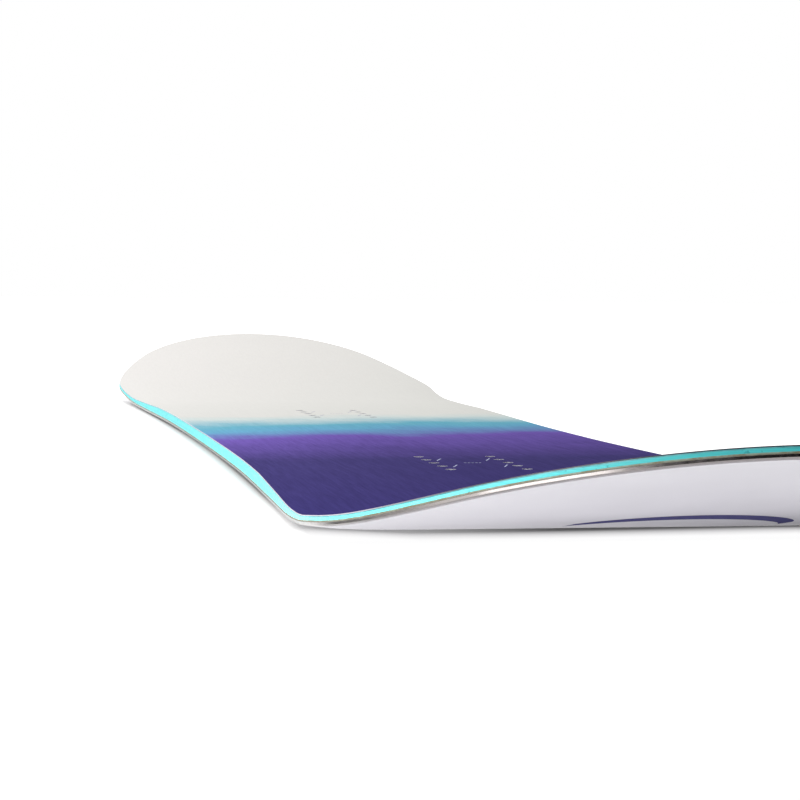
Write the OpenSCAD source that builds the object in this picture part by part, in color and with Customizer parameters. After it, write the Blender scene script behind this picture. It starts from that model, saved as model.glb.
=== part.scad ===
// Snowboard deck: a flat-based twin-tip board in sandwich construction.
// The frame: X runs from tail to nose, Y across the board, Z up. The origin lies in the
// middle of the board, on the running surface.

/* [Outline] */
// Overall length, seen from above
board_length = 1400; // [1200:10:1600]
// Width at the waist, the narrowest place
waist_width = 236; // [210:1:270]
// Radius of the two sidecut arcs
sidecut_radius = 8250; // [6000:50:12000]
// Distance from the end of the sidecut to the end of the board
tip_length = 202; // [165:1:230]
// Radius of the shoulders, between the sidecut and the round end
shoulder_radius = 270; // [240:5:600]

/* [Side profile] */
// Distance from the start of the tip rise to the end of the board
rise_length = 298; // [230:2:360]
// Radius of the tip rise, on the running surface
rise_radius = 930; // [600:5:1500]

/* [Base and edges] */
// Thickness of the base sheet
base_t = 1; // [0.8:0.1:2]
// Width of the steel edge on the running surface
edge_w = 2.2; // [1.6:0.1:3]
// Thickness of the anchor teeth of the steel edge
tooth_t = 0.3; // [0.3:0.1:0.9]
// Reach of the anchor teeth inwards from the edge
tooth_reach = 5; // [3:0.5:8]
// Length of one anchor tooth, measured along the edge
tooth_l = 12; // [6:1:15]
// Distance from one anchor tooth to the next
tooth_pitch = 20; // [16:1:40]
// Thickness of the rubber damping strip on the steel edge
rubber_t = 0.3; // [0.25:0.05:0.5]
// Distance from the centre of each crescent-shaped base inlay to the end of the board
inlay_setback = 149; // [120:1:200]
// Radius of a base inlay's crescent
inlay_r = 43; // [30:1:80]
// Greatest width of that crescent
inlay_w = 16; // [8:1:30]

/* [Laminates] */
// Thickness of the fibreglass under the core
lower_glass_t = 0.4; // [0.3:0.1:1]
// Thickness of the fibreglass over the core
upper_glass_t = 0.4; // [0.3:0.1:1]
// Thickness of the topsheet
topsheet_t = 0.4; // [0.3:0.1:0.8]

/* [Core and sidewalls] */
// Thickness of the wood core between and under the bindings
core_t = 5; // [4:0.1:8]
// Thickness that the core tapers down to, which the tip spacers keep
spacer_t = 1.8; // [1.5:0.1:3.5]
// Width of one strip of the core
strip_w = 20; // [17:0.5:22]
// Width of the sidewall's foot, inside the raised border of the lower laminate
sidewall_foot = 1.3; // [0.5:0.1:5]
// Distance of the joint between core and tip spacer from the end of the board
spacer_length = 140; // [100:5:180]
// Radius of that joint, seen from above
spacer_joint_r = 400; // [250:10:420]

/* [Binding inserts] */
// Distance between the centres of the two insert packs
stance = 428; // [380:2:480]
// Inserts in one row
inserts_per_row = 5; // [4:1:6]
// Distance between neighbouring inserts of a row
insert_pitch = 20; // [18:1:25]
// Distance between the two rows of a pack
row_gap = 40; // [36:1:44]
// Diameter of an insert's threaded hole
bore_d = 5; // [4:0.1:6]
// Diameter of an insert's barrel
barrel_d = 8; // [7.5:0.1:10]
// Diameter of an insert's flange
flange_d = 17; // [13:0.5:17.5]
// Thickness of an insert's flange
flange_t = 1; // [0.6:0.1:1.5]
// Depth of the barrel's rim below the topsheet
rim_recess = 0.2; // [0:0.05:0.3]
// Diameter of the plug that closes the insert's hole from below
plug_d = 6.5; // [6.2:0.1:7]
// Thickness of that plug
plug_t = 0.6; // [0.4:0.1:1.2]
// Length of full core thickness beyond the last insert
taper_margin = 25; // [10:1:60]

/* [Hidden] */
strip_count = 9;
STRIPS = [for (i = [1:strip_count]) str("core_strip_", i)];
$fn = 96;
arc_fn = 720;
sidecut_fn = 2000;

// Outline: a sidecut arc, a shoulder arc and an end arc, each tangent to the next. The arcs
// then grow by a hair, so that neighbours cross instead of only touching.
arc_cross = 0.05;
half_l = board_length / 2;
sidecut_end = half_l - tip_length;
sidecut_y = waist_width / 2 + sidecut_radius;
flare = asin(sidecut_end / sidecut_radius);
sidecut_end_y = sidecut_y - sidecut_radius * cos(flare);
shoulder_c = [sidecut_end, sidecut_end_y] + shoulder_radius * [sin(flare), -cos(flare)];
tip_run = half_l - 2 * arc_cross - shoulder_c.x;
end_radius = (tip_run ^ 2 + shoulder_c.y ^ 2 - shoulder_radius ^ 2) / (2 * (tip_run - shoulder_radius));
end_c = [shoulder_c.x + tip_run - end_radius, 0];
end_angle = atan2(end_c.y - shoulder_c.y, end_c.x - shoulder_c.x);
shoulder_angle = 90 + flare;

// Side profile
flat_end = half_l - rise_length;
pack_half = (inserts_per_row - 1) / 2 * insert_pitch;
taper_start = stance / 2 + pack_half + taper_margin;

// Heights over the running surface
seat_h = base_t + tooth_t;
core_bottom = base_t + lower_glass_t;
border_bottom = seat_h + rubber_t;
border_top = border_bottom + lower_glass_t;
core_top = core_bottom + core_t;
spacer_top = core_bottom + spacer_t;
deck_t = upper_glass_t + topsheet_t;
rim_top = core_top + deck_t - rim_recess;

// Insets from the outline: the end of the teeth, the raised border and the core's side
seat_w = edge_w + tooth_reach;
border_w = seat_w + lower_glass_t;
core_inset = border_w + sidewall_foot;
core_end = half_l - spacer_length;

// Cutting bodies reach this far past what they cut
past = 5;
reach_y = waist_width;
far = 2 * board_length;

// Draws its children at the nose, or mirrored at the tail
module at_end(tail) { mirror([tail ? 1 : 0, 0, 0]) children(); }

// Draws its children on the left (Y above 0), or mirrored on the right
module on_side(left) { mirror([0, left ? 0 : 1, 0]) children(); }

// The part of the plan that the end arc bounds, between the two ends of that arc
module end_side() {
    corner = far * [cos(end_angle), sin(end_angle)];
    polygon([end_c, end_c + corner, end_c + [corner.x, -corner.y]]);
}

// One tip, moved inwards: two shoulder discs crossed, and their point cut round by the end arc
module tip_outline(inset) {
    difference() {
        intersection() {
            translate(shoulder_c) circle(shoulder_radius + arc_cross - inset, $fn = arc_fn);
            translate([shoulder_c.x, -shoulder_c.y])
                circle(shoulder_radius + arc_cross - inset, $fn = arc_fn);
        }
        difference() {
            end_side();
            translate(end_c) circle(end_radius + 2 * arc_cross - inset, $fn = arc_fn);
        }
    }
}

// The outline of the board, moved inwards
module outline(inset) {
    difference() {
        union() {
            square([2 * sidecut_end, 2 * reach_y], center = true);
            for (tail = [true, false]) at_end(tail) tip_outline(inset);
        }
        for (left = [true, false]) on_side(left)
            translate([0, sidecut_y]) circle(sidecut_radius + inset, $fn = sidecut_fn);
    }
}

// What lies between two insets of the outline
module border(outer, inner) {
    difference() {
        outline(outer);
        outline(inner);
    }
}

// Keeps one half of a plan
module half(left) {
    intersection() {
        children();
        on_side(left) translate([-far, 0]) square([2 * far, reach_y]);
    }
}

// The plan of the core and the sidewalls, up to the round joints with the tip spacers
module core_plan() {
    joint_x = core_end - spacer_joint_r;
    square([2 * joint_x, 2 * spacer_joint_r], center = true);
    for (tail = [true, false]) at_end(tail) translate([joint_x, 0]) circle(spacer_joint_r, $fn = arc_fn);
}

// A layer in side view. Each height is given in the middle and at the tips, and it tapers
// between the inserts and the tip rise.
module side_view(low_mid, low_tip, high_mid, high_tip) {
    polygon([
        [-flat_end, low_tip], [-taper_start, low_mid], [taper_start, low_mid], [flat_end, low_tip],
        [flat_end, high_tip], [taper_start, high_mid], [-taper_start, high_mid], [-flat_end, high_tip]
    ]);
    for (tail = [true, false]) at_end(tail) intersection() {
        translate([flat_end, rise_radius]) difference() {
            circle(rise_radius - low_tip, $fn = arc_fn);
            circle(rise_radius - high_tip, $fn = arc_fn);
        }
        translate([flat_end, -past]) square([half_l, rise_radius]);
    }
}

// A layer cut to the plan that its children draw
module layer(low_mid, low_tip, high_mid, high_tip) {
    intersection() {
        rotate([90, 0, 0]) linear_extrude(2 * reach_y, center = true)
            side_view(low_mid, low_tip, high_mid, high_tip);
        translate([0, 0, -past]) linear_extrude(board_length) children();
    }
}

// A layer of one thickness from tip to tip
module even_layer(low, high) { layer(low, low, high, high) children(); }

// Draws its children at each insert of one pack
module each_insert(tail) {
    at_end(tail) for (i = [0:inserts_per_row - 1], row = [-1, 1])
        translate([stance / 2 - pack_half + i * insert_pitch, row * row_gap / 2, core_bottom]) children();
}

// The space that the barrels of both packs take up
module barrel_space() {
    for (tail = [true, false]) each_insert(tail) cylinder(h = core_t + deck_t + past, d = barrel_d);
}

// The crescent of one base inlay
module inlay_plan(tail) {
    at_end(tail) translate([half_l - inlay_setback, 0]) difference() {
        circle(inlay_r, $fn = arc_fn);
        translate([-inlay_w, 0]) circle(inlay_r, $fn = arc_fn);
    }
}

// A row of anchor teeth along an arc of the outline, from one angle to another
module arc_teeth(centre, radius, from, to) {
    count = floor(radius * (from - to) * PI / 180 / tooth_pitch);
    for (i = [0:count - 1])
        translate(centre) rotate(to + (from - to) * (i + 0.5) / count)
            translate([radius - seat_w - past, -tooth_l / 2]) square([seat_w + past, tooth_l]);
}

// All anchor teeth, drawn across the border that they are cut from
module teeth_plan() {
    count = floor(2 * sidecut_end / tooth_pitch);
    for (i = [0:count - 1])
        translate([((i + 0.5) / count - 0.5) * 2 * sidecut_end, 0])
            square([tooth_l, 2 * reach_y], center = true);
    for (tail = [true, false], left = [true, false]) at_end(tail) on_side(left) {
        arc_teeth(shoulder_c, shoulder_radius, shoulder_angle, end_angle);
        arc_teeth(end_c, end_radius, end_angle, 0);
    }
}

module base_sheet() {
    color("whitesmoke") even_layer(0, base_t) difference() {
        outline(edge_w);
        for (tail = [true, false]) inlay_plan(tail);
    }
}

module base_inlay(tail) { color("slateblue") even_layer(0, base_t) inlay_plan(tail); }

// A ground edge along one side, with its row of anchor teeth lying on the base
module steel_edge(left) {
    color("silver") difference() {
        even_layer(0, seat_h) half(left) border(0, seat_w);
        even_layer(-past, base_t) outline(edge_w);
        even_layer(-past, seat_h + past) difference() {
            outline(edge_w);
            teeth_plan();
        }
    }
}

// Keyed between the anchor teeth, which lie in its underside
module rubber_strip(left) {
    color("dimgray") difference() {
        even_layer(base_t, border_bottom) half(left) border(0, seat_w);
        even_layer(-past, seat_h) {
            border(-past, edge_w);
            teeth_plan();
        }
    }
}

// Lies on the base, and steps up over the edges and the rubber strips
module lower_laminate() {
    color("palegreen") difference() {
        even_layer(base_t, border_top) outline(0);
        even_layer(core_bottom, border_top + past) outline(border_w);
        even_layer(-past, border_bottom) border(-past, seat_w);
    }
}

module core_strip(number) {
    place = number - (strip_count + 1) / 2;
    low = number == 1 ? -reach_y : (place - 0.5) * strip_w;
    high = number == strip_count ? reach_y : (place + 0.5) * strip_w;
    color(number % 2 == 1 ? "burlywood" : "wheat") difference() {
        layer(core_bottom, core_bottom, core_top, spacer_top) intersection() {
            outline(core_inset);
            core_plan();
            translate([-half_l, low]) square([board_length, high - low]);
        }
        barrel_space();
        for (tail = [true, false]) each_insert(tail) cylinder(h = flange_t, d = flange_d);
    }
}

// Stands on the raised border of the lower laminate, and reaches down inside it with its foot
module sidewall(left) {
    color("mediumturquoise") difference() {
        layer(core_bottom, core_bottom, core_top, spacer_top) half(left) intersection() {
            border(0, core_inset);
            core_plan();
        }
        even_layer(-past, border_top) border(-past, border_w);
    }
}

module tip_spacer(tail) {
    color("turquoise") difference() {
        even_layer(core_bottom, spacer_top) at_end(tail) tip_spacer_plan();
        even_layer(-past, border_top) border(-past, border_w);
    }
}

// The plan of a tip spacer, from the joint with the core to the outline
module tip_spacer_plan() {
    difference() {
        outline(0);
        core_plan();
        translate([-far, -reach_y]) square([far, 2 * reach_y]);
    }
}

module upper_laminate() {
    color("honeydew") difference() {
        layer(core_top, spacer_top, core_top + upper_glass_t, spacer_top + upper_glass_t) outline(0);
        barrel_space();
    }
}

module topsheet() {
    color("lavender") difference() {
        layer(core_top + upper_glass_t, spacer_top + upper_glass_t, core_top + deck_t, spacer_top + deck_t)
            outline(0);
        barrel_space();
    }
}

// Flanged and threaded, with a seat under the threaded hole for the plug
module inserts(tail) {
    color("gainsboro") each_insert(tail) difference() {
        union() {
            cylinder(h = rim_top - core_bottom, d = barrel_d);
            cylinder(h = flange_t, d = flange_d);
        }
        translate([0, 0, -past]) cylinder(h = core_t + deck_t + 2 * past, d = bore_d);
        translate([0, 0, -past]) cylinder(h = plug_t + past, d = plug_d);
    }
}

module insert_plugs(tail) { color("black") each_insert(tail) cylinder(h = plug_t, d = plug_d); }

base_sheet();
base_inlay(false);  // base_inlay_nose
base_inlay(true);  // base_inlay_tail
steel_edge(true);  // edge_left
steel_edge(false);  // edge_right
rubber_strip(true);  // rubber_left
rubber_strip(false);  // rubber_right
lower_laminate();
for (i = [1:strip_count]) core_strip(i);
sidewall(true);  // sidewall_left
sidewall(false);  // sidewall_right
tip_spacer(false);  // tip_spacer_nose
tip_spacer(true);  // tip_spacer_tail
upper_laminate();
topsheet();
inserts(false);  // inserts_nose
inserts(true);  // inserts_tail
insert_plugs(false);  // insert_plugs_nose
insert_plugs(true);  // insert_plugs_tail
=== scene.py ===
"""Snowboard deck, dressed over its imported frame: smooth laminate pieces, print, steel and light."""
import math

import bmesh
import bpy
from mathutils import Matrix, Vector


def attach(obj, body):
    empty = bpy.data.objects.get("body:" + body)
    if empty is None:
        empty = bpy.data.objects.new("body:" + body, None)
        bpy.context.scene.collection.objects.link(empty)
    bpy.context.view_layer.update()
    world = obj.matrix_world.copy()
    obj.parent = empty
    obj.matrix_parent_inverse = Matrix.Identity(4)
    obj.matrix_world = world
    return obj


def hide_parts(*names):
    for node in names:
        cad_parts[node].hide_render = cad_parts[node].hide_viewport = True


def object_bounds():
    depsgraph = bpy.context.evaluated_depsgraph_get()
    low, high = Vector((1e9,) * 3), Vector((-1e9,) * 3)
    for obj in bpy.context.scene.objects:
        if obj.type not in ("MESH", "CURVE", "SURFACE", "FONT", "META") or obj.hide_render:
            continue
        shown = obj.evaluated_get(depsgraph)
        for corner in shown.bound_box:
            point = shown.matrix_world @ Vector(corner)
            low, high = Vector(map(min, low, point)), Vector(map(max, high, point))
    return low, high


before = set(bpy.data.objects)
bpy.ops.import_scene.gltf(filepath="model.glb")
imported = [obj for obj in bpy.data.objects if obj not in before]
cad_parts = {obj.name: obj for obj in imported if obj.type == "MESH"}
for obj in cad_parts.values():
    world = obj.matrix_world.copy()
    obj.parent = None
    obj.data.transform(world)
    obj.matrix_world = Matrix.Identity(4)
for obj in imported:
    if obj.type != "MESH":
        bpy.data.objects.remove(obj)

CAD_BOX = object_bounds()
MM = 0.001
TINY = 1e-6

# The ends and sides of the board, each with its direction along X or Y
ENDS = (("nose", 1), ("tail", -1))
SIDES = (("left", 1), ("right", -1))

# Sizes of the board, in millimetres
HALF_L = CAD_BOX[1][0] / MM
HALF_WAIST = 118
SIDECUT_R = 8250
TIP_LENGTH = 202
SHOULDER_R = 270
FLAT_END = 402
TAPER_START = 279
TAPER_END = 480
RISE_R = 930
EDGE_W = 2.2
TOOTH_REACH = 5
TOOTH_L = 12
TOOTH_PITCH = 20
CORE_INSET = 8.9
SPACER_JOINT = 538

# Lift of the sides over the middle: a first one beyond the waist, a second one at the widest places
LIFT_INNER_Y = 60
LIFT_POWER = 6
WAIST_LIFT = 0.9
WAIST_LIFT_X = (30, 240)
CONTACT_LIFT = 1.3
CONTACT_LIFT_X = (300, 500)
LIFT_FADE_X = (615, 505)

# Heights over the running surface. Measures that taper are given as (in the middle, at the tips)
BASE_TOP = 1.0
SEAT_TOP = 1.3
BORDER_BOTTOM = 1.6
BORDER_TOP = 2.0
CORE_BOTTOM = 1.4
CORE_TOP = (6.4, 3.2)
GLASS_TOP = (6.8, 3.6)
DECK_TOP = (7.2, 4.0)

# Crescent inlays in the base
INLAY_FROM_TIP = 149
INLAY_R = 43
INLAY_W = 16

# Insert packs
PACK_X = 214
ROW_Y = 20
PITCH = 20
PER_ROW = 5
BARREL_R = 4
BORE_R = 2.5
MOUTH_R = 3.0
THREAD_DEPTH = 0.45
THREAD_TURNS = 4
FLANGE_R = 8.5
FLANGE_T = 1
PLUG_R = 3.25
PLUG_T = 0.6
RIM_TOP = 7.0
HOLE_R = 2.8
HOLE_GAP = 0.02
CUT_PAST = 1
ROUND_STEPS = 48

# The view of the photograph, with the camera's place in metres
IMAGE_W = 800
FOCAL_PX = 2165.08
SENSOR_MM = 36
CAMERA_AT = (1.3213, -0.2609, 0.1001)
YAW, PITCH_DOWN, ROLL = (math.radians(a) for a in (11.35, 3.035, 0.66))

# The inks of the print and its white under painted shade, 0 to 255, and where it reaches them along the
# board, in metres
WHITE = (247, 244, 241)
# The second colour is the print's white with painted shade on it, darker towards the middle of the board
WHITE_IN_PAINTED_SHADE = (234, 233, 229)
ICE = (217, 228, 227)
TURQUOISE = (114, 183, 204)
SKY = (111, 174, 207)
VIOLET = (117, 94, 178)
INDIGO = (73, 66, 120)
NIGHT = (64, 58, 116)
FADE = (
    (-0.66, WHITE), (-0.205, WHITE_IN_PAINTED_SHADE), (-0.165, ICE), (-0.10, TURQUOISE), (-0.065, SKY), (0.02, VIOLET),
    (0.19, INDIGO), (0.46, NIGHT))
# Light on the top face, relative to the white of the picture
PRINT_LIGHT = 1.20

# Values between which most of a noise texture lies
NOISE_LOW = 0.3
NOISE_HIGH = 0.7


# The outline and the side view

SIDECUT_END = HALF_L - TIP_LENGTH
SIDECUT_Y = HALF_WAIST + SIDECUT_R
FLARE = math.asin(SIDECUT_END / SIDECUT_R)
SHOULDER_C = Vector((
    SIDECUT_END + SHOULDER_R * math.sin(FLARE),
    SIDECUT_Y - (SIDECUT_R + SHOULDER_R) * math.cos(FLARE)))
TIP_RUN = HALF_L - SHOULDER_C.x
END_R = (TIP_RUN ** 2 + SHOULDER_C.y ** 2 - SHOULDER_R ** 2) / (2 * (TIP_RUN - SHOULDER_R))
END_C = Vector((HALF_L - END_R, 0))
END_ANGLE = math.atan2(-SHOULDER_C.y, END_C.x - SHOULDER_C.x)


def arc(centre, radius, start, stop, steps):
    """Points and outward normals along an arc of the outline, without its last point."""
    for i in range(steps):
        angle = start + (stop - start) * i / steps
        normal = Vector((math.cos(angle), math.sin(angle)))
        yield centre + radius * normal, normal


def side_stations():
    """(point, normal) from nose to tail along the left side of the outline."""
    end_steps, shoulder_steps, sidecut_steps = 40, 22, 40
    quarter = list(arc(END_C, END_R, 0, END_ANGLE, end_steps))
    quarter += arc(SHOULDER_C, SHOULDER_R, END_ANGLE, math.pi / 2 + FLARE, shoulder_steps)
    for i in range(sidecut_steps):
        angle = FLARE * (1 - i / sidecut_steps)
        normal = Vector((-math.sin(angle), math.cos(angle)))
        quarter.append((Vector((0, SIDECUT_Y)) - SIDECUT_R * normal, normal))
    waist = [(Vector((0, HALF_WAIST)), Vector((0, 1)))]
    tail = [(Vector((-p.x, p.y)), Vector((-n.x, n.y))) for p, n in reversed(quarter)]
    return quarter + waist + tail


def mirrored(stations):
    """The same stations on the other side of the board."""
    return [(Vector((p.x, -p.y)), Vector((n.x, -n.y))) for p, n in stations]


SIDE = side_stations()
LOOP = SIDE + mirrored(reversed(SIDE[1:-1]))
# The joint of sidewalls and tip spacers, moved to the nearest station
JOINT_X = min((abs(p.x) for p, n in SIDE), key=lambda x: abs(x - SPACER_JOINT))


def side_half(way):
    """The stations of one side of the board, from nose to tail."""
    return SIDE if way > 0 else mirrored(SIDE)


def tip_stations(way):
    """The stations round one tip, from joint to joint."""
    stations = [s for s in LOOP if way * s[0].x >= JOINT_X]
    # The loop starts at the end of the nose, in the middle of these stations
    start = next(i for i, s in enumerate(stations) if s[0].y < 0) if way > 0 else 0
    return stations[start:] + stations[:start]


def at_place(x, measure):
    """A measure at the place x along the board, where it may taper towards the tips."""
    if not isinstance(measure, tuple):
        return measure
    mid, tip = measure
    return mid + (tip - mid) * min(max((abs(x) - TAPER_START) / (TAPER_END - TAPER_START), 0), 1)


def more(measure, extra):
    """A tapering measure with something added to it."""
    return tuple(m + extra for m in measure)


def inside(station, inset):
    """The point of the plan that lies this far inside a station of the outline."""
    point, normal = station
    return point - at_place(point.x, inset) * normal


def height(x, level):
    """Z of a layer that lies at this level, over the place x along the board."""
    level, rise = at_place(x, level), abs(x) - FLAT_END
    return level if rise <= 0 else RISE_R - math.sqrt((RISE_R - level) ** 2 - rise ** 2)


def ease(value, low, high):
    """From 0 to 1 between two values, with a smooth start and end."""
    t = min(max((value - low) / (high - low), 0), 1)
    return t * t * (3 - 2 * t)


def side_lift(p):
    """How much higher than the middle of the board a point near its side stands."""
    x = abs(p.x)
    half_width = HALF_WAIST + x ** 2 / (2 * SIDECUT_R)
    most = WAIST_LIFT * ease(x, *WAIST_LIFT_X) + CONTACT_LIFT * ease(x, *CONTACT_LIFT_X)
    share = max((abs(p.y) - LIFT_INNER_Y) / (half_width - LIFT_INNER_Y), 0)
    return most * ease(x, *LIFT_FADE_X) * share ** LIFT_POWER


def on_board(p, level):
    """A point of the plan, in millimetres, lifted to a level, in metres."""
    return Vector((p.x, p.y, height(p.x, level) + side_lift(p))) * MM


# Insets of the cut side, from the damping strip up to the topsheet
RUBBER_SIDE = 0.14
BORDER_SIDE = 0.08
WALL_FOOT = 0.05
BEVEL = (1.5, 0.5)
WALL_TOP = more(BEVEL, -0.15)
GLASS_EDGE = more(BEVEL, -0.05)


# Making pieces

def finish_piece(name, bm, material, nodes, sharp=30):
    """Turns a bmesh into a piece that rides on the board and stands for CAD nodes."""
    bmesh.ops.recalc_face_normals(bm, faces=bm.faces)
    mesh = bpy.data.meshes.new(name)
    bm.to_mesh(mesh)
    bm.free()
    for polygon in mesh.polygons:
        polygon.use_smooth = True
    mesh.set_sharp_from_angle(angle=math.radians(sharp))
    mesh.materials.append(material)
    piece = bpy.data.objects.new(name, mesh)
    bpy.context.scene.collection.objects.link(piece)
    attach(piece, "root")
    if nodes:
        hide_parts(*nodes)
    return piece


def bridge(bm, a, b, closed):
    """Quads between two rows of vertices."""
    count = len(a) if closed else len(a) - 1
    for i in range(count):
        j = (i + 1) % len(a)
        bm.faces.new((a[i], a[j], b[j], b[i]))


def add_sweep(bm, stations, profile, closed):
    """Sweeps a profile of (inset, level) along stations, closed into a ring or capped at its ends."""
    rows = []
    for station in stations:
        rows.append([bm.verts.new(on_board(inside(station, inset), level)) for inset, level in profile])
    pairs = list(zip(rows, rows[1:]))
    if closed:
        pairs.append((rows[-1], rows[0]))
    else:
        bm.faces.new(rows[0])
        bm.faces.new(rows[-1])
    for a, b in pairs:
        bridge(bm, a, b, closed=True)


def add_sheet(bm, rim, across=24):
    """A closed plate over the whole plan. rim is its edge, from the top face to the bottom face."""
    def cap(inset, level):
        rows = []
        for station in SIDE:
            side = inside(station, inset)
            at_tip = abs(station[0].y) <= TINY
            shares = [1] if at_tip else [1 - 2 * i / across for i in range(across + 1)]
            rows.append([bm.verts.new(on_board(Vector((side.x, side.y * s)), level)) for s in shares])
        for a, b in zip(rows, rows[1:]):
            if len(a) == 1 or len(b) == 1:
                point, row = (a[0], b) if len(a) == 1 else (b[0], a)
                for u, v in zip(row, row[1:]):
                    bm.faces.new((point, u, v))
            else:
                bridge(bm, a, b, closed=False)
        return [row[0] for row in rows] + [row[-1] for row in reversed(rows[1:-1])]

    top = cap(*rim[0])
    bottom = cap(*rim[-1])
    loops = [top]
    for inset, level in rim[1:-1]:
        loops.append([bm.verts.new(on_board(inside(station, inset), level)) for station in LOOP])
    loops.append(bottom)
    for a, b in zip(loops, loops[1:]):
        bridge(bm, a, b, closed=True)


def board_sheet(name, rim, material, nodes):
    """A piece that is one closed plate."""
    bm = bmesh.new()
    add_sheet(bm, rim)
    return finish_piece(name, bm, material, nodes)


def insert_places():
    """Centres of all inserts, in millimetres."""
    for _, end in ENDS:
        for row in (1, -1):
            for i in range(PER_ROW):
                yield end * (PACK_X + (i - (PER_ROW - 1) / 2) * PITCH), row * ROW_Y


def cut_holes(piece, wall, steps):
    """Drills a hole at each insert through a piece, in steps of (radius, low, high)."""
    for radius, low, high in steps:
        bm = bmesh.new()
        for x, y in insert_places():
            bmesh.ops.create_cone(
                bm, cap_ends=True, segments=ROUND_STEPS, radius1=radius * MM, radius2=radius * MM,
                depth=(high - low) * MM, matrix=Matrix.Translation((x * MM, y * MM, (low + high) / 2 * MM)))
        subtract(piece, bm, wall)


def subtract(piece, bm, wall):
    """Cuts the volume of a bmesh out of a piece, and gives the cut faces a material."""
    cutter_mesh = bpy.data.meshes.new("cutter")
    bm.to_mesh(cutter_mesh)
    bm.free()
    cutter_mesh.materials.append(wall)
    cutter = bpy.data.objects.new("cutter", cutter_mesh)
    bpy.context.scene.collection.objects.link(cutter)
    cut = piece.modifiers.new("cut", "BOOLEAN")
    cut.object = cutter
    cut.operation = "DIFFERENCE"
    cut.solver = "EXACT"
    cut.material_mode = "TRANSFER"
    bpy.context.view_layer.update()
    evaluated = piece.evaluated_get(bpy.context.evaluated_depsgraph_get())
    drilled = bpy.data.meshes.new_from_object(evaluated)
    piece.modifiers.clear()
    piece.data = drilled
    bpy.data.objects.remove(cutter)


# Materials, with places in metres. Left and right are those of the picture

def srgb(r, g, b):
    """A colour given as in a picture, 0 to 255, as linear light."""
    def linear(c):
        c = c / 255
        return c / 12.92 if c <= 0.04045 else ((c + 0.055) / 1.055) ** 2.4
    return (linear(r), linear(g), linear(b), 1)


def lit(colour, light):
    """The surface colour that shows as this picture colour under this much light."""
    return tuple(c / light for c in srgb(*colour)[:3]) + (1,)


def scaled(colour, factor):
    """A lighter or darker shade of a colour."""
    return tuple(c * factor for c in colour[:3]) + (1,)


def grey(value):
    return (value, value, value, 1)


class Nodes:
    """A material's node tree, with short calls for the nodes used here."""

    def __init__(self, name):
        self.material = bpy.data.materials.new(name)
        self.material.use_nodes = True
        self.tree = self.material.node_tree
        self.shader = self.tree.nodes["Principled BSDF"]
        self.place = self.tree.nodes.new("ShaderNodeTexCoord").outputs["Object"]

    def set(self, **values):
        for name, value in values.items():
            self.shader.inputs[name.replace("_", " ")].default_value = value

    def to(self, socket, name):
        self.tree.links.new(socket, self.shader.inputs[name])

    def fill(self, socket, value):
        if isinstance(value, bpy.types.NodeSocket):
            self.tree.links.new(value, socket)
        else:
            socket.default_value = value

    def node(self, kind, inputs=(), **settings):
        node = self.tree.nodes.new(kind)
        for key, value in settings.items():
            setattr(node, key, value)
        for key, value in dict(inputs).items():
            self.fill(node.inputs[key], value)
        return node

    def plan(self):
        """X and Y of the place on the board, in metres."""
        place = self.node("ShaderNodeSeparateXYZ", {"Vector": self.place})
        return place.outputs["X"], place.outputs["Y"]

    def stretched(self, scale, turn=0.0):
        mapping = self.node("ShaderNodeMapping", {
            "Vector": self.place, "Scale": scale, "Rotation": (0, 0, turn)})
        return mapping.outputs["Vector"]

    def noise(self, scale, stretch=(1, 1, 1), detail=4, rough=0.55, turn=0.0):
        noise = self.node("ShaderNodeTexNoise", {
            "Vector": self.stretched(stretch, turn), "Scale": scale, "Detail": detail, "Roughness": rough})
        return noise.outputs["Fac"]

    def wave(self, scale, stretch, distortion, detail=2, direction="X"):
        wave = self.node("ShaderNodeTexWave", {
            "Vector": self.stretched(stretch), "Scale": scale, "Distortion": distortion, "Detail": detail},
            bands_direction=direction)
        return wave.outputs["Fac"]

    def math(self, operation, a, b=0.0):
        return self.node("ShaderNodeMath", {0: a, 1: b}, operation=operation).outputs[0]

    def range(self, value, low, high, to_low=0.0, to_high=1.0):
        mapped = self.node("ShaderNodeMapRange", {
            "Value": value, "From Min": low, "From Max": high, "To Min": to_low, "To Max": to_high})
        return mapped.outputs["Result"]

    def vary(self, noise, low, high):
        """A value that follows a noise between two limits."""
        return self.range(noise, NOISE_LOW, NOISE_HIGH, low, high)

    def ramp(self, value, stops):
        ramp = self.node("ShaderNodeValToRGB", {"Fac": value})
        marks = ramp.color_ramp.elements
        while len(marks) < len(stops):
            marks.new(0.5)
        for mark, (at, colour) in zip(marks, stops):
            mark.position = at
            mark.color = colour
        return ramp.outputs["Color"]

    def shades(self, noise, first, second):
        """A colour that follows a noise between two shades."""
        return self.ramp(noise, [(NOISE_LOW, first), (NOISE_HIGH, second)])

    def mix(self, factor, a, b, blend="MIX"):
        mix = self.node("ShaderNodeMix", data_type="RGBA", blend_type=blend)
        sockets = {s.identifier: s for s in mix.inputs}
        for key, value in (("Factor_Float", factor), ("A_Color", a), ("B_Color", b)):
            self.fill(sockets[key], value)
        return next(s for s in mix.outputs if s.identifier == "Result_Color")

    def bump(self, value, distance):
        bump = self.node("ShaderNodeBump", {"Height": value, "Distance": distance, "Strength": 1.0})
        self.to(bump.outputs["Normal"], "Normal")


def slanted_place(m, x, y, drift):
    """The place along the print, whose bands slant most at the middle of the board."""
    middle_x, middle_reach, middle_slope = -0.005, 0.11, 0.35
    side_y, left_slope, right_slope = 0.06, 0.20, 0.04
    from_middle = m.math("ABSOLUTE", m.math("SUBTRACT", x, middle_x))
    end_slope = m.range(y, -side_y, side_y, left_slope, right_slope)
    slope = m.range(from_middle, 0, middle_reach, middle_slope, end_slope)
    return m.math("ADD", m.math("ADD", x, m.math("MULTIPLY", y, slope)), drift)


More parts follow.
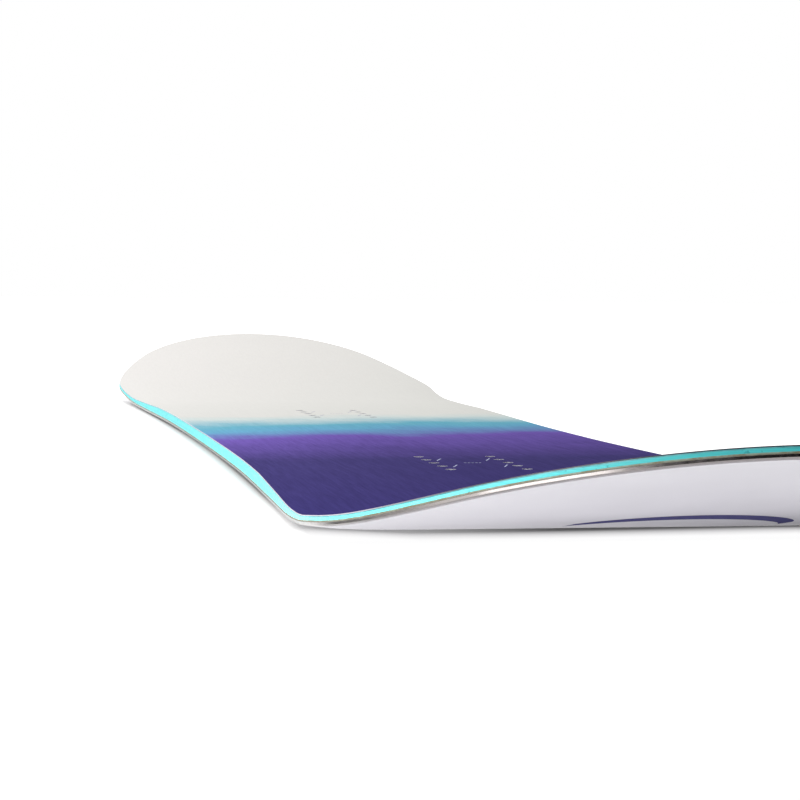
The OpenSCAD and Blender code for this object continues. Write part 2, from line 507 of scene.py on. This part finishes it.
def topsheet_material():
    """A print that fades along the board from white through turquoise and purple to indigo."""
    m = Nodes("topsheet_print")
    x, y = m.plan()
    cloud = m.noise(9, (0.7, 1.0, 1), detail=6, rough=0.62)
    wisp = m.noise(30, (1.0, 0.5, 1), detail=8, rough=0.72)
    cloud_drift, wisp_drift = 0.055, 0.032
    coarse = m.range(cloud, 0, 1, -cloud_drift, cloud_drift)
    fine = m.range(wisp, 0, 1, -wisp_drift, wisp_drift)
    along = slanted_place(m, x, y, m.math("ADD", coarse, fine))
    start, stop = FADE[0][0], FADE[-1][0]
    stops = [((at - start) / (stop - start), lit(colour, PRINT_LIGHT)) for at, colour in FADE]
    colour = m.ramp(m.range(along, start, stop), stops)

    # The light falls off across the board, more over the ink
    left_y, right_y, bare_x, inked_x = -0.12, 0.13, -0.20, 0.10
    across = m.ramp(m.range(y, left_y, right_y), [(0.0, grey(1.08)), (1.0, (0.89, 0.90, 0.89, 1))])
    colour = m.mix(1.0, colour, across, "MULTIPLY")
    left = m.ramp(m.range(y, left_y, 0), [(0.0, grey(1.24)), (1.0, grey(1))])
    colour = m.mix(m.range(along, bare_x, 0), colour, left, "MULTIPLY")

    brush = m.noise(620, (0.05, 1.0, 1), detail=3, rough=0.6, turn=0.07)
    grain = m.noise(900, detail=3, rough=0.75)
    bare_share = 0.12
    for texture, strength in ((brush, 0.65), (grain, 0.45)):
        speckle = m.shades(texture, grey(0.80), grey(1.18))
        inked = m.range(along, bare_x, inked_x, bare_share * strength, strength)
        colour = m.mix(inked, colour, speckle, "MULTIPLY")
    m.to(colour, "Base Color")
    m.to(m.vary(cloud, 0.42, 0.55), "Roughness")
    m.set(Specular_IOR_Level=0.0)
    m.bump(m.noise(1500, detail=2), 0.03 * MM)
    return m.material


def topsheet_edge_material():
    """Cut edge of the topsheet: milky plastic with faint lines along the cut, darkened at the nose by
    painted shade.
    """
    m = Nodes("topsheet_edge")
    # The dark colour is painted shade and dark reflection, which darkens the edge towards the nose
    milky, cloudy, overlay = srgb(226, 222, 232), srgb(200, 198, 212), srgb(46, 44, 62)
    shade_start, shade_full = 0.57, 0.65
    x, _ = m.plan()
    cloud = m.noise(45, detail=3)
    lines = m.noise(90, (0.1, 0.1, 30), detail=2)
    plastic = m.mix(m.vary(cloud, 0, 1), milky, cloudy)
    m.to(m.mix(m.range(x, shade_start, shade_full), plastic, overlay), "Base Color")
    m.to(m.vary(lines, 0.25, 0.4), "Roughness")
    m.bump(lines, 0.02 * MM)
    return m.material


def sidewall_material(name):
    """Sanded plastic with small dark specks and faint lines along the length."""
    m = Nodes(name)
    cyan, teal = (0.13, 0.90, 0.92, 1), (0.05, 0.44, 0.46, 1)
    speck_start, speck_full = 0.66, 0.72
    line_strength, speck_strength = 0.35, 0.7
    specks = m.noise(420, detail=2)
    lines = m.noise(60, (0.05, 1, 40), detail=3)
    base = m.mix(m.vary(lines, 0, line_strength), cyan, teal)
    base = m.mix(m.range(specks, speck_start, speck_full, 0, speck_strength), base, teal)
    m.to(base, "Base Color")
    m.to(m.vary(specks, 0.35, 0.50), "Roughness")
    m.set(Specular_IOR_Level=0.25)
    m.bump(lines, 0.04 * MM)
    return m.material


def steel_material(name, colour, rough, stretch):
    """Ground steel: fine scratches along the grinding direction, and slight stains."""
    m = Nodes(name)
    scratch = m.noise(700, stretch, detail=5, rough=0.7)
    stain = m.noise(22, detail=3)
    stained, clean = 0.35, 0.65
    m.to(m.ramp(stain, [(stained, scaled(colour, 0.82)), (clean, colour)]), "Base Color")
    m.to(m.vary(scratch, rough * 0.7, rough * 1.4), "Roughness")
    m.set(Metallic=1.0)
    m.bump(scratch, 0.01 * MM)
    return m.material


def base_material(name, colour, gloss):
    """Polished polyethylene: a stone-ground structure along the board and a faint cloudiness."""
    m = Nodes(name)
    cloud = m.noise(14, detail=3)
    grind = m.noise(1200, (0.02, 1, 1), detail=2)
    m.to(m.shades(cloud, scaled(colour, 0.93), colour), "Base Color")
    m.to(m.vary(cloud, 0.28, 0.38), "Roughness")
    m.set(Specular_IOR_Level=gloss)
    m.bump(grind, 0.01 * MM)
    return m.material


def laminate_material(name, colour, dark):
    """Glass cloth in resin: crossing threads, with darker dry spots along the cut edge."""
    m = Nodes(name)
    dry_start, dry_full, thread_strength = 0.42, 0.6, 0.25
    threads = m.wave(220, (1, 1, 0), distortion=1.5)
    spots = m.noise(130, (1, 1, 0.1), detail=4, rough=0.7)
    base = m.mix(m.range(spots, dry_start, dry_full), colour, dark)
    base = m.mix(m.range(threads, 0, 1, 0, thread_strength), base, dark)
    m.to(base, "Base Color")
    m.to(m.vary(spots, 0.35, 0.6), "Roughness")
    m.bump(threads, 0.02 * MM)
    return m.material


def grainy_material(name, scale, detail, shades, rough, depth):
    """Rubber or moulded plastic with a fine grain."""
    m = Nodes(name)
    grain = m.noise(scale, detail=detail)
    m.to(m.shades(grain, *shades), "Base Color")
    m.to(m.vary(grain, *rough), "Roughness")
    m.bump(grain, depth)
    return m.material


def wood_material(name, light, dark):
    """Core strip: grain along the board with growth rings."""
    m = Nodes(name)
    late_wood, early_wood, fibre_strength = 0.2, 0.8, 0.4
    rings = m.wave(12, (0.4, 8, 8), distortion=6, detail=3, direction="Y")
    fibre = m.noise(500, (0.03, 1, 1), detail=4)
    base = m.ramp(rings, [(late_wood, dark), (early_wood, light)])
    m.to(m.mix(m.vary(fibre, 0, fibre_strength), base, dark), "Base Color")
    m.to(m.vary(fibre, 0.55, 0.75), "Roughness")
    m.bump(fibre, 0.05 * MM)
    return m.material


def mark_material(name, colour):
    """Printed stance mark, slightly broken up as screen print is."""
    m = Nodes(name)
    thin, full = 0.35, 0.6
    print_grain = m.noise(1400, detail=2)
    m.to(m.ramp(print_grain, [(thin, scaled(colour, 0.8)), (full, colour)]), "Base Color")
    m.to(m.vary(print_grain, 0.45, 0.6), "Roughness")
    return m.material


# Pieces

def make_base():
    chamfer, gloss = 0.10, 0.12
    white = base_material("base_white", (0.875, 0.865, 0.885, 1), gloss)
    rim = [(EDGE_W, BASE_TOP), (EDGE_W, chamfer), (EDGE_W + chamfer, 0.0)]
    board_sheet("base_ground", rim, white, ["base_sheet"])


def make_inlays():
    """A crescent in the base near each tip, a hair below the running surface so that it shows."""
    violet = base_material("inlay_violet", (0.115, 0.112, 0.250, 1), gloss=0.0)
    centre = HALF_L - INLAY_FROM_TIP
    reach = math.sqrt(INLAY_R ** 2 - (INLAY_W / 2) ** 2)
    steps_along, steps_across, proud = 60, 6, 0.02
    for end, way in ENDS:
        bm = bmesh.new()
        rows = []
        for i in range(steps_along + 1):
            y = reach * math.sin(math.pi * (i / steps_along - 0.5))
            outer = centre + math.sqrt(INLAY_R ** 2 - y ** 2)
            insets = [INLAY_W * k / steps_across for k in range(steps_across + 1)]
            rows.append([bm.verts.new(on_board(Vector((way * (outer - w), y)), -proud)) for w in insets])
        for a, b in zip(rows, rows[1:]):
            bridge(bm, a, b, closed=False)
        finish_piece("base_crescent_" + end, bm, violet, ["base_inlay_" + end])


def add_teeth(bm, stations):
    """Anchor teeth along the inside of a steel edge."""
    reach = EDGE_W + TOOTH_REACH
    run = 0
    due = TOOTH_PITCH / 2
    for (point, normal), (following, _) in zip(stations, stations[1:]):
        step = (following - point).length
        while due <= run + step:
            at = point + (following - point) * ((due - run) / step)
            half_tooth = Vector((-normal.y, normal.x)) * TOOTH_L / 2
            corners = []
            for level in (BASE_TOP, SEAT_TOP):
                for inset, way in ((EDGE_W, 1), (EDGE_W, -1), (reach, -1), (reach, 1)):
                    corners.append(bm.verts.new(on_board(at - inset * normal + way * half_tooth, level)))
            bm.faces.new(corners[:4])
            bm.faces.new(corners[4:])
            bridge(bm, corners[:4], corners[4:], closed=True)
            due += TOOTH_PITCH
        run += step


def make_edges():
    """Steel edges, rounded off in two flats at the running surface, and the damping strips on them."""
    steel = steel_material("edge_steel", (0.37, 0.34, 0.33, 1), rough=0.20, stretch=(0.03, 0.6, 1))
    rubber = grainy_material(
        "rubber_strip", scale=600, detail=3, shades=((0.28, 0.26, 0.20, 1), (0.42, 0.39, 0.31, 1)),
        rough=(0.6, 0.8), depth=0.03 * MM)
    top_chamfer, round_top, round_mid, round_foot = 0.05, (0.0, 0.38), (0.12, 0.14), (0.36, 0.0)
    edge_profile = [
        (0.0, SEAT_TOP - top_chamfer), round_top, round_mid, round_foot, (EDGE_W, 0.0),
        (EDGE_W, SEAT_TOP), (top_chamfer, SEAT_TOP)]
    strip_end = EDGE_W + TOOTH_REACH
    strip_profile = [
        (RUBBER_SIDE, SEAT_TOP), (RUBBER_SIDE, BORDER_BOTTOM),
        (strip_end, BORDER_BOTTOM), (strip_end, SEAT_TOP)]
    for side, way in SIDES:
        stations = side_half(way)
        bm = bmesh.new()
        add_sweep(bm, stations, edge_profile, closed=False)
        add_teeth(bm, stations)
        finish_piece("ground_edge_" + side, bm, steel, ["edge_" + side], sharp=12)
        bm = bmesh.new()
        add_sweep(bm, stations, strip_profile, closed=False)
        finish_piece("damping_strip_" + side, bm, rubber, ["rubber_" + side])


def make_lower_laminate():
    """The sheet under the core, with a border that steps up over edges and strips."""
    seat = EDGE_W + TOOTH_REACH
    cloth_t = BORDER_TOP - BORDER_BOTTOM
    step = seat + cloth_t
    bm = bmesh.new()
    add_sweep(bm, LOOP, [
        (BORDER_SIDE, BORDER_BOTTOM), (BORDER_SIDE, BORDER_TOP), (step, BORDER_TOP),
        (step, BASE_TOP), (seat, BASE_TOP), (seat, BORDER_BOTTOM)], closed=True)
    add_sheet(bm, [(step, CORE_BOTTOM), (step, BASE_TOP)])
    material = laminate_material("glass_fibre", srgb(172, 192, 172), srgb(146, 134, 96))
    finish_piece("lower_laminate_sheet", bm, material, ["lower_laminate"])


def make_sidewalls():
    """Bevelled sidewalls and the rims of the tip spacers, on a short upright foot."""
    foot_h = 0.15
    profile = [
        (WALL_FOOT, BORDER_TOP), (WALL_FOOT, BORDER_TOP + foot_h), (WALL_TOP, CORE_TOP),
        (CORE_INSET, CORE_TOP), (CORE_INSET, BORDER_TOP)]
    wall = sidewall_material("sidewall")
    spacer = sidewall_material("tip_spacer")
    pieces = []
    for side, way in SIDES:
        bm = bmesh.new()
        add_sweep(bm, [s for s in side_half(way) if abs(s[0].x) <= JOINT_X], profile, closed=False)
        pieces.append(finish_piece("sidewall_bevelled_" + side, bm, wall, ["sidewall_" + side]))
    for end, way in ENDS:
        bm = bmesh.new()
        add_sweep(bm, tip_stations(way), profile, closed=False)
        name = "tip_spacer_" + end
        pieces.append(finish_piece(name + "_rim", bm, spacer, [name]))
    return pieces


def make_upper_laminate():
    rim = [(GLASS_EDGE, GLASS_TOP), (WALL_TOP, CORE_TOP)]
    material = laminate_material("glass_fibre_top", srgb(120, 214, 218), srgb(86, 184, 190))
    piece = board_sheet("upper_laminate_sheet", rim, material, ["upper_laminate"])
    cut_holes(piece, material, [(BARREL_R + HOLE_GAP, CORE_TOP[0] - CUT_PAST, DECK_TOP[0])])


def make_topsheet():
    """The printed sheet, drilled over the inserts, and its milky rim with a rounded corner."""
    rim_w, corner_in, corner_down, corner_h = 0.12, 0.03, 0.04, 0.12
    inner = more(BEVEL, rim_w)
    rim = [(inner, DECK_TOP), (inner, GLASS_TOP)]
    piece = board_sheet("topsheet_print", rim, topsheet_material(), ["topsheet"])
    edge = topsheet_edge_material()
    cut_holes(piece, edge, [
        (HOLE_R, CORE_TOP[0], DECK_TOP[0] + CUT_PAST),
        (BARREL_R + HOLE_GAP, CORE_TOP[0], RIM_TOP + HOLE_GAP)])
    bm = bmesh.new()
    add_sweep(bm, LOOP, [
        (inner, DECK_TOP), (more(BEVEL, corner_in), more(DECK_TOP, -corner_down)),
        (BEVEL, more(DECK_TOP, -corner_h)), (GLASS_EDGE, GLASS_TOP), (inner, GLASS_TOP)], closed=True)
    finish_piece("topsheet_rim", bm, edge, [])


def insert_profile():
    """Half section of an insert, (radius, height), from the plug's seat round to the threaded hole."""
    foot, eased = CORE_BOTTOM, 0.15
    seat, ledge = foot + PLUG_T, foot + FLANGE_T
    section = [
        (PLUG_R, seat), (PLUG_R, foot), (FLANGE_R - eased, foot), (FLANGE_R, foot + eased),
        (FLANGE_R, ledge - eased), (FLANGE_R - eased, ledge), (BARREL_R + eased, ledge),
        (BARREL_R, ledge + eased), (BARREL_R, RIM_TOP - eased), (BARREL_R - eased, RIM_TOP),
        (MOUTH_R, RIM_TOP)]
    thread_top = RIM_TOP - (MOUTH_R - BORE_R)
    turn = (thread_top - seat) / THREAD_TURNS
    crest, root = 0.2 * turn, 0.6 * turn
    for i in range(THREAD_TURNS):
        z = thread_top - i * turn
        section += [(BORE_R, z), (BORE_R, z - crest), (BORE_R + THREAD_DEPTH, z - root)]
    return section + [(BORE_R, seat)]


def make_inserts():
    """Turned inserts with a flange, a chamfered mouth and a threaded hole."""
    steel = steel_material("insert_steel", (0.97, 0.97, 0.98, 1), rough=0.28, stretch=(1, 1, 0.1))
    section = insert_profile()
    for end, way in ENDS:
        bm = bmesh.new()
        for x, y in insert_places():
            if x * way < 0:
                continue
            rows = []
            for i in range(ROUND_STEPS):
                angle = 2 * math.pi * i / ROUND_STEPS
                c, s = math.cos(angle), math.sin(angle)
                rows.append([bm.verts.new(Vector((x + r * c, y + r * s, z)) * MM) for r, z in section])
            for a, b in zip(rows, rows[1:] + rows[:1]):
                bridge(bm, a, b, closed=True)
        finish_piece("turned_inserts_" + end, bm, steel, ["inserts_" + end], sharp=25)


def add_mark(bm, corners):
    """A printed mark, a hair above the topsheet."""
    level = more(DECK_TOP, 0.02)
    bm.faces.new([bm.verts.new(on_board(Vector(c), level)) for c in corners])


def make_marks():
    """Stance marks printed between the insert rows: slashes beside inserts, and a dotted line."""
    slash_y, slash_run, slash_lean, line_w = 13.5, 6.5, 2.4, 0.8
    dot_l, dot_w, dots = 1.2, 1.6, (-4, -2, 0, 2, 4)
    colours = {"nose": srgb(158, 164, 204), "tail": srgb(150, 146, 176)}
    for end, way in ENDS:
        bm = bmesh.new()
        for i in (-1, 1):
            for row in (-1, 1):
                x, y = way * PACK_X + i * PITCH, row * slash_y
                near, far = x + slash_run, x - slash_run
                low, high = y - slash_lean, y + slash_lean
                add_mark(bm, ((near, low), (near, low + line_w), (far, high + line_w), (far, high)))
        for y in dots:
            x = way * PACK_X
            add_mark(bm, ((x, y), (x + dot_w, y), (x + dot_w, y + dot_l), (x, y + dot_l)))
        overlay = mark_material("stance_mark_" + end, colours[end])
        finish_piece("stance_marks_" + end, bm, overlay, [])


def dress_cad_nodes():
    """Materials for the nodes that stay as they are."""
    plug = grainy_material(
        "insert_plug", scale=900, detail=2, shades=((0.010, 0.010, 0.011, 1), (0.028, 0.028, 0.030, 1)),
        rough=(0.5, 0.7), depth=0.02 * MM)
    woods = (
        wood_material("wood_dark", srgb(196, 158, 112), srgb(150, 108, 66)),
        wood_material("wood_light", srgb(226, 200, 156), srgb(190, 152, 104)))
    for name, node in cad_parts.items():
        material = None
        if name.startswith("insert_plugs_"):
            material = plug
        elif name.startswith("core_strip_"):
            even = int(name.rsplit("_", 1)[1]) % 2 == 0
            material = woods[even]
        if material:
            node.data.materials.clear()
            node.data.materials.append(material)


# Stage, in metres. Left and right are those of the picture

def panel(name, corners, material, camera=False, diffuse=True, shadow=True):
    """A flat stage piece, hidden from the kinds of rays that are False."""
    mesh = bpy.data.meshes.new(name)
    mesh.from_pydata(corners, [], [range(len(corners))])
    mesh.materials.append(material)
    piece = bpy.data.objects.new(name, mesh)
    piece.visible_camera, piece.visible_diffuse, piece.visible_shadow = camera, diffuse, shadow
    bpy.context.scene.collection.objects.link(piece)


def lying(plan, z):
    """The corners of a level panel."""
    return [(x, y, z) for x, y in plan]


def make_floor():
    """A white table with painted light: it glows round the board, and faintly under it, so that its shadows
    show only close to the board.
    """
    m = Nodes("floor_white")
    x, y = m.plan()

    # Painted light: before the board the table glows and keeps little of its own colour, so that no shadow
    # shows there. The glow starts under the nose, along a line that bends back at both sides, with a faint
    # painted glow further back under the board, more on the left
    start, full, front_glow = 0.464, 0.492, 0.92
    left_bend = m.range(y, -0.125, -0.085, 0.022, 0)
    right_bend = m.range(y, -0.05, 0.07, 0, 0.008)
    before = m.range(m.math("ADD", x, m.math("ADD", left_bend, right_bend)), start, full)
    paper = m.shades(m.noise(1.5), grey(0.77), grey(0.79))
    m.to(m.mix(before, paper, grey(0.10)), "Base Color")
    left_glow, right_glow = 0.15, 0.03
    under = m.math("MULTIPLY", m.range(x, 0.30, 0.38), m.range(y, -0.085, -0.02, left_glow, right_glow))
    near = m.range(before, 0, 1, under, front_glow)

    # Painted light behind the tail and beside the board, whose side is taken as a parabola; it hides the
    # shadows there but for a thin band along the side
    behind_glow, beside_glow, side_curve = 0.85, 0.50, 0.032
    behind = m.range(x, -0.60, -0.46, behind_glow, 0)
    side = m.math("ADD", m.math("MULTIPLY", m.math("MULTIPLY", x, x), side_curve), HALF_WAIST * MM)
    beside = m.range(m.math("SUBTRACT", m.math("ABSOLUTE", y), side), 0.001, 0.007, 0, beside_glow)
    m.to(m.math("ADD", near, m.math("MAXIMUM", behind, beside)), "Emission Strength")
    m.set(Roughness=0.7, Specular_IOR_Level=0.0, Emission_Color=grey(1))

    half, drop = 12, -0.0003
    plan = [(-half, -half), (half, -half), (half, half), (-half, half)]
    panel("floor", lying(plan, drop), m.material, camera=True)


def make_flags():
    """Dark cards, which the camera doesn't see: two keep light off the nose, one shows in the steel."""
    m = Nodes("flag_black")
    m.to(m.shades(m.noise(8), grey(0.015), grey(0.03)), "Base Color")
    m.set(Roughness=0.9, Specular_IOR_Level=0.0)
    wall_x, left, right, top, lift = 1.45, -0.60, 2.0, 1.5, 0.0002
    wall = [(wall_x, left, 0), (wall_x, right, 0), (wall_x, right, top), (wall_x, left, top)]
    panel("flag_wall", wall, m.material)
    back_x, notch_x = 0.80, 0.95
    card = [
        (notch_x, left), (wall_x, left), (wall_x, right), (back_x, right),
        (back_x, -0.03), (notch_x, -0.09)]
    panel("flag_card", lying(card, lift), m.material, shadow=False)
    strip = [(0.41, -0.20), (0.47, -0.15), (0.555, -0.26), (0.48, -0.31)]
    panel("flag_strip", lying(strip, lift), m.material, diffuse=False, shadow=False)


def make_bounce():
    """A pale card under the nose, which the camera doesn't see, for the light on the base."""
    m = Nodes("bounce_white")
    m.to(m.shades(m.noise(3), (0.78, 0.78, 0.79, 1), (0.80, 0.80, 0.81, 1)), "Base Color")
    m.set(Roughness=0.9, Specular_IOR_Level=0.0, Emission_Color=(0.97, 0.96, 1, 1))
    slant, start, full, glow = 0.6, 0.46, 0.64, 0.40
    x, y = m.plan()
    ahead = m.math("SUBTRACT", x, m.math("MULTIPLY", y, slant))
    m.to(m.range(ahead, start, full, 0, glow), "Emission Strength")
    back, front, narrow, wide, drop = 0.50, 0.95, 0.13, 0.30, -0.0001
    plan = [(back, -narrow), (front, -wide), (front, wide), (back, narrow)]
    panel("bounce_card", lying(plan, drop), m.material)


def area_light(name, at, towards, size, radiance, diffuse=True, glossy=True, only_on=()):
    """A rectangular lamp, for all pieces or for some, without the kinds of light that are False."""
    lamp = bpy.data.lights.new(name, "AREA")
    lamp.shape = "RECTANGLE"
    lamp.size, lamp.size_y = size
    lamp.energy = radiance * math.pi * size[0] * size[1]
    lamp_object = bpy.data.objects.new(name, lamp)
    lamp_object.visible_diffuse = diffuse
    lamp_object.visible_glossy = glossy
    if only_on:
        lit_pieces = bpy.data.collections.new(name)
        for piece in only_on:
            lit_pieces.objects.link(piece)
        lamp_object.light_linking.receiver_collection = lit_pieces
    lamp_object.location = at
    lamp_object.rotation_euler = (Vector(towards) - Vector(at)).to_track_quat("-Z", "Y").to_euler()
    bpy.context.scene.collection.objects.link(lamp_object)


def make_light(sidewalls):
    """A white room, a key light from the right, and lamps on the left for sidewalls and reflections."""
    world = bpy.data.worlds.new("studio")
    world.use_nodes = True
    bpy.context.scene.world = world
    room = world.node_tree.nodes["Background"]
    room.inputs["Color"].default_value = grey(1)
    room.inputs["Strength"].default_value = 1.0
    area_light("key", at=(-0.3, 2.6, 2.2), towards=(-0.1, 0, 0), size=(2.4, 1.6), radiance=3.0)
    area_light(
        "left_fill", at=(0.41, -0.50, 0.08), towards=(0.41, 0, 0.03), size=(0.35, 0.14), radiance=8.6,
        only_on=sidewalls)
    area_light(
        "corner_fill", at=(0.455, -0.24, 0.05), towards=(0.455, 0, 0), size=(0.06, 0.04), radiance=32.0,
        glossy=False, only_on=sidewalls)
    area_light(
        "side_softbox", at=(0.785, -0.42, 0.25), towards=(0.785, 0, 0.25), size=(0.40, 0.50), radiance=3.3,
        diffuse=False)
    bpy.context.scene.view_settings.view_transform = "Standard"


def make_camera():
    """The camera, looking along -X, turned by yaw, then tilted down, then rolled."""
    cos_yaw, sin_yaw = math.cos(YAW), math.sin(YAW)
    cos_pitch, sin_pitch = math.cos(PITCH_DOWN), math.sin(PITCH_DOWN)
    cos_roll, sin_roll = math.cos(ROLL), math.sin(ROLL)
    level = Matrix(((sin_yaw, cos_yaw, 0), (0, 0, -1), (-cos_yaw, sin_yaw, 0)))
    tilt = Matrix(((1, 0, 0), (0, cos_pitch, -sin_pitch), (0, sin_pitch, cos_pitch)))
    turn = Matrix(((cos_roll, -sin_roll, 0), (sin_roll, cos_roll, 0), (0, 0, 1)))
    right, down, forward = turn @ tilt @ level
    pose = Matrix((right, -down, -forward)).transposed().to_4x4()
    pose.translation = Vector(CAMERA_AT)
    lens = bpy.data.cameras.new("camera")
    lens.sensor_width = SENSOR_MM
    lens.sensor_fit = "HORIZONTAL"
    lens.lens = FOCAL_PX / IMAGE_W * SENSOR_MM
    camera = bpy.data.objects.new("camera", lens)
    camera.matrix_world = pose
    bpy.context.scene.collection.objects.link(camera)
    bpy.context.scene.camera = camera


make_camera()
make_floor()
make_flags()
make_bounce()
make_base()
make_inlays()
make_edges()
make_lower_laminate()
sidewall_pieces = make_sidewalls()
make_light(sidewall_pieces)
make_upper_laminate()
make_topsheet()
make_inserts()
make_marks()
dress_cad_nodes()
